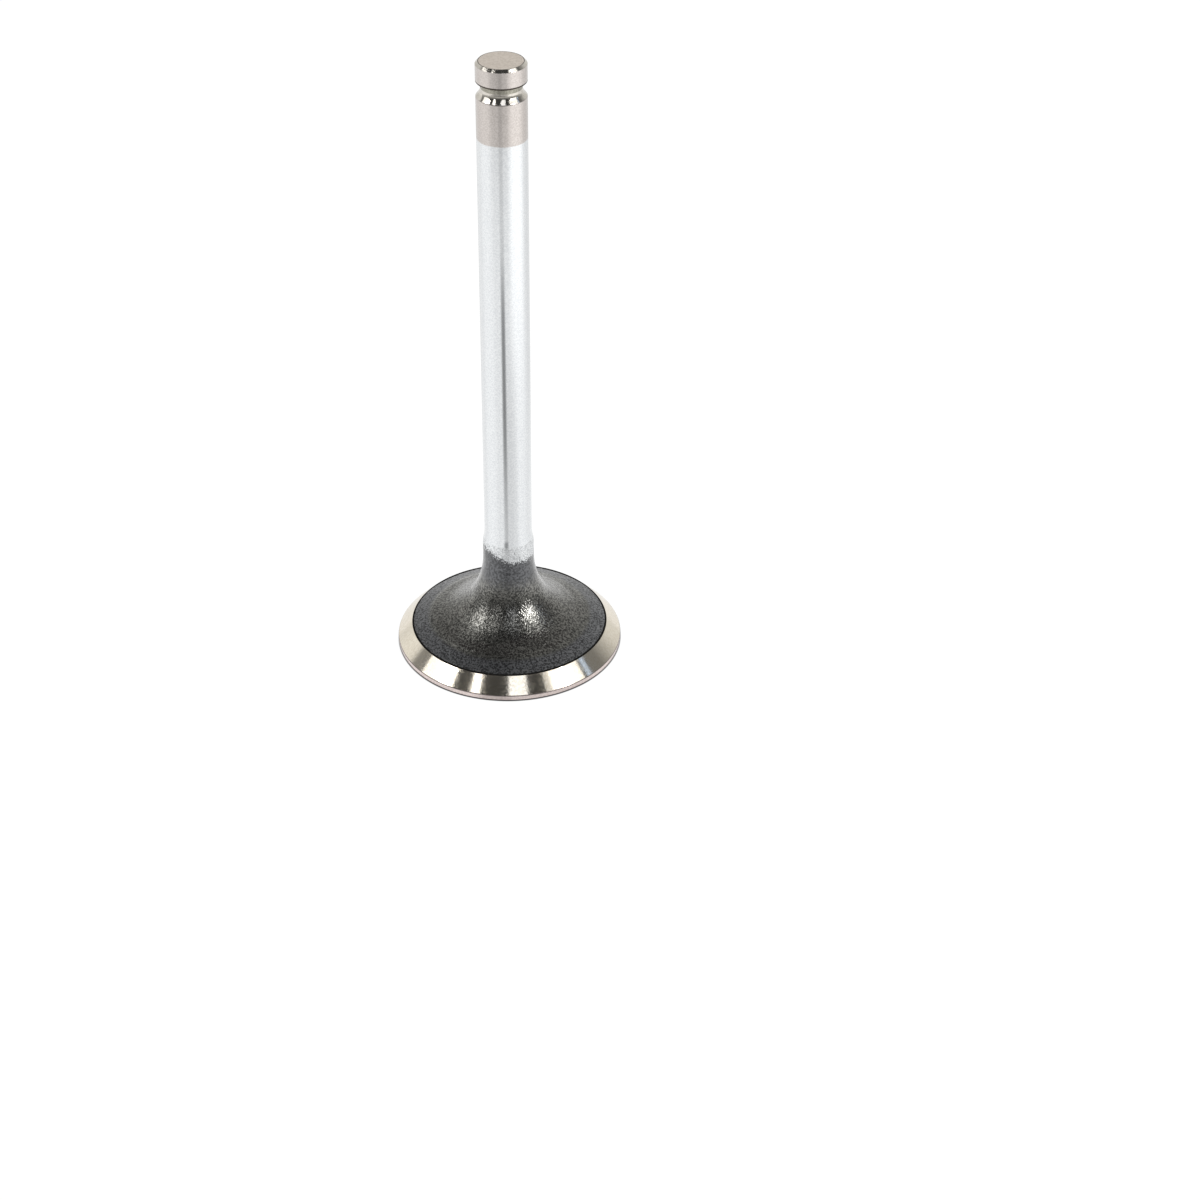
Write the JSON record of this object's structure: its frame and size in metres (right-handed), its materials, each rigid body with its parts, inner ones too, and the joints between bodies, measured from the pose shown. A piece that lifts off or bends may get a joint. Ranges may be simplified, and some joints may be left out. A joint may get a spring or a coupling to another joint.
{
  "type": "engine valve",
  "caption": "Poppet valve for a piston engine: flat round head with a ground conical seat, swept neck, long plated stem and a hardened tip with a keeper groove.",
  "frame": {"origin": "centre of the combustion face", "axes": "+Z along the stem, from the head to the tip"},
  "size_m": [0.0454, 0.0454, 0.125],
  "materials": {
    "valve_steel": "ground and polished steel, hard chrome on the stem, dark nitrided neck and back of the head"
  },
  "bodies": {
    "root": {"valve": "valve_steel"}
  },
  "joints": []
}
